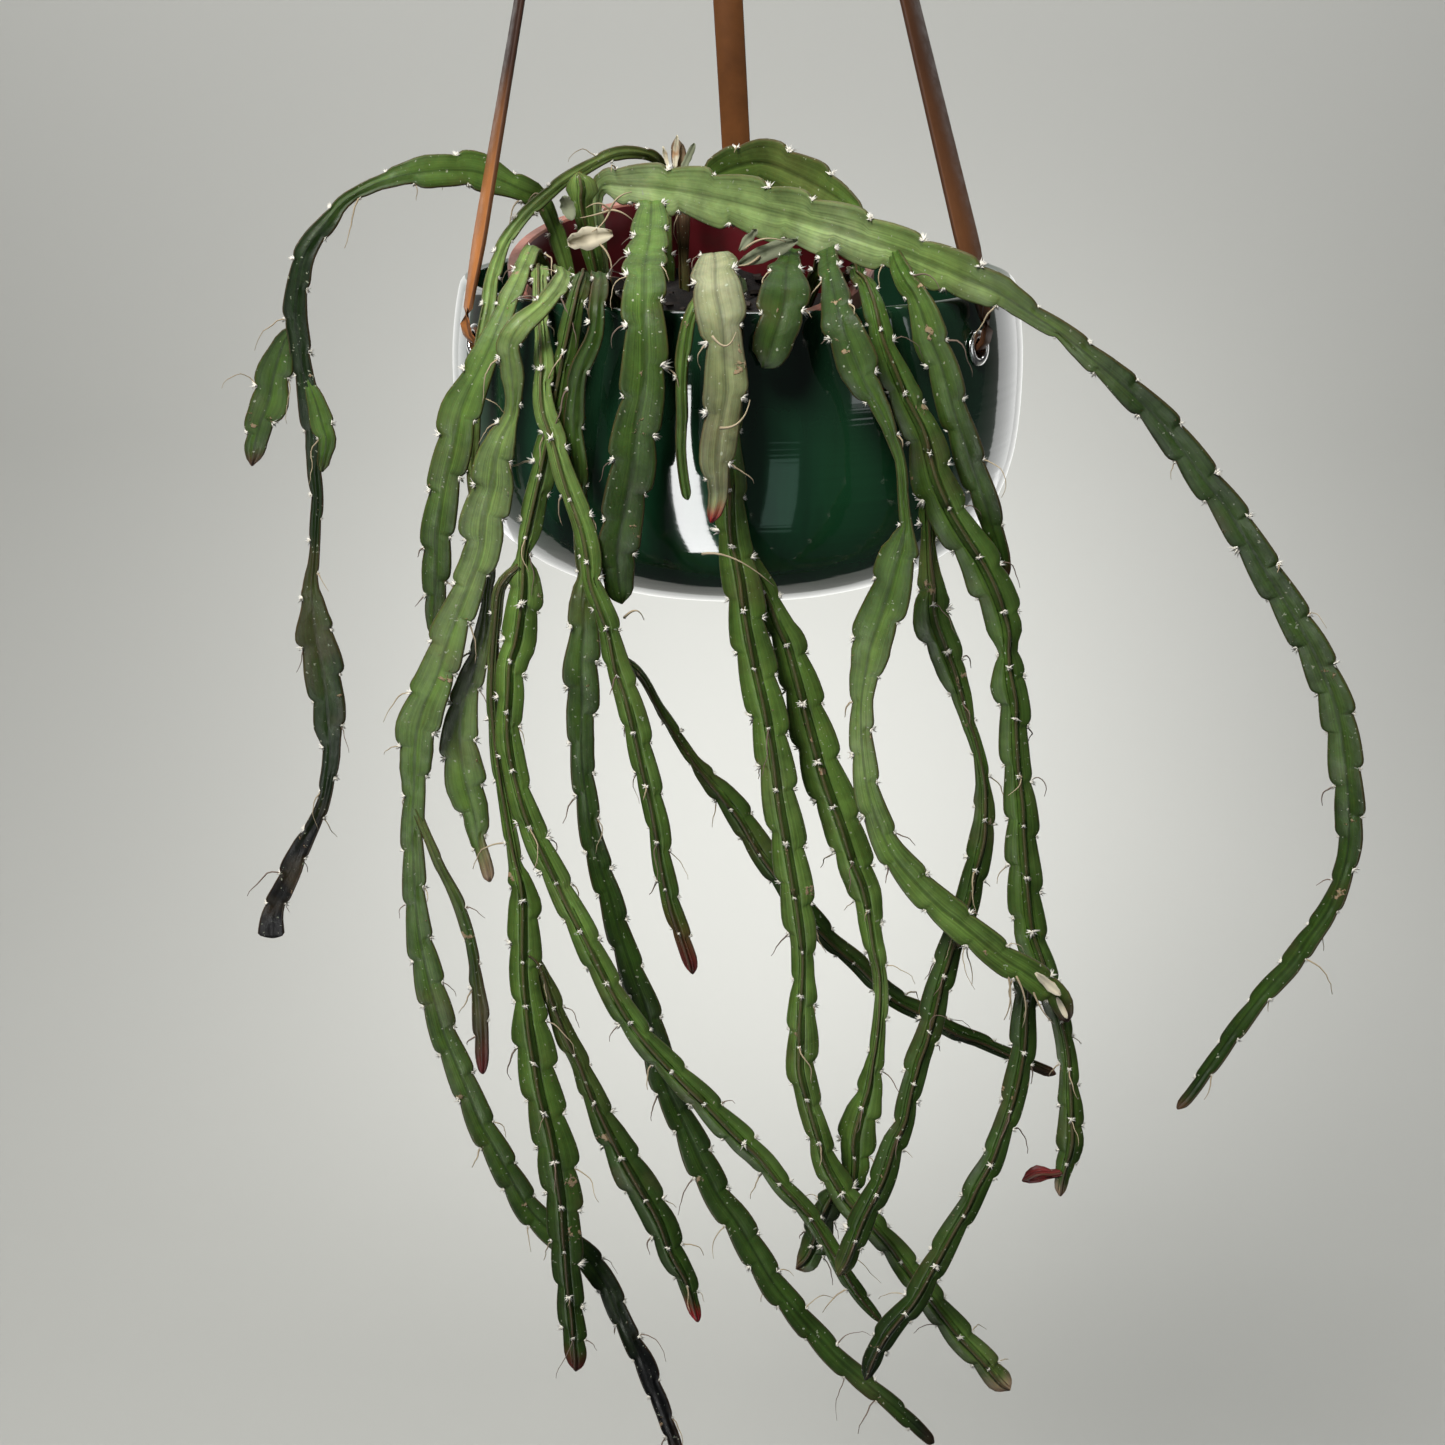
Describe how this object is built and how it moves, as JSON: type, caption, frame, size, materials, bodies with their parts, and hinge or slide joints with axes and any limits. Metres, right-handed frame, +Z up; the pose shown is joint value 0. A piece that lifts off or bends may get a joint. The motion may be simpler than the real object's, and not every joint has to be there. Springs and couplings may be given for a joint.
{
  "type": "potted hurricane cactus",
  "caption": "Trailing cactus with notched, three-winged stems in a plastic nursery pot, set in a glazed bowl that hangs from a ring on leather straps.",
  "frame": {"origin": "point inside the top of the hanging ring where a ceiling hook bears", "axes": "+Z up, +Y away from the side that the stems spill over, +X to the right as seen from that side"},
  "size_m": [0.436, 0.2518, 0.8762],
  "materials": {
    "glazed_ceramic": "opaque glossy dark green glaze on stoneware",
    "pot_plastic": "faded terracotta-coloured moulded plastic, darker red inside",
    "potting_soil": "dark crumbly bark and peat mix",
    "ring_steel": "satin steel wire",
    "strap_leather": "tan-brown flat-cut leather, darker at the cut edges",
    "eyelet_steel": "nickel-coloured rolled eyelet",
    "stem_green": "waxy green skin, burgundy at young tips, woolly white tufts in the notches",
    "stem_olive": "pale olive skin with corky scars"
  },
  "bodies": {
    "root": {"bowl": "glazed_ceramic", "eyelet_back": "eyelet_steel", "eyelet_left": "eyelet_steel", "eyelet_right": "eyelet_steel", "hanging_ring": "ring_steel", "nursery_pot": "pot_plastic", "soil": "potting_soil", "stem_broad_middle": "stem_green", "stem_cut_stump": "stem_olive", "stem_front_sweep": "stem_green", "stem_green_stub": "stem_green", "stem_left_arch": "stem_green", "stem_left_front": "stem_green", "stem_left_long": "stem_green", "stem_low_sweep": "stem_green", "stem_middle_long": "stem_green", "stem_pale_short": "stem_olive", "stem_red_tip": "stem_green", "stem_right_arch": "stem_green", "stem_right_chain": "stem_green", "stem_right_long": "stem_green", "stem_short_leaf": "stem_green", "stem_thin_arch": "stem_green", "strap_back": "strap_leather", "strap_left": "strap_leather", "strap_right": "strap_leather"}
  },
  "joints": []
}
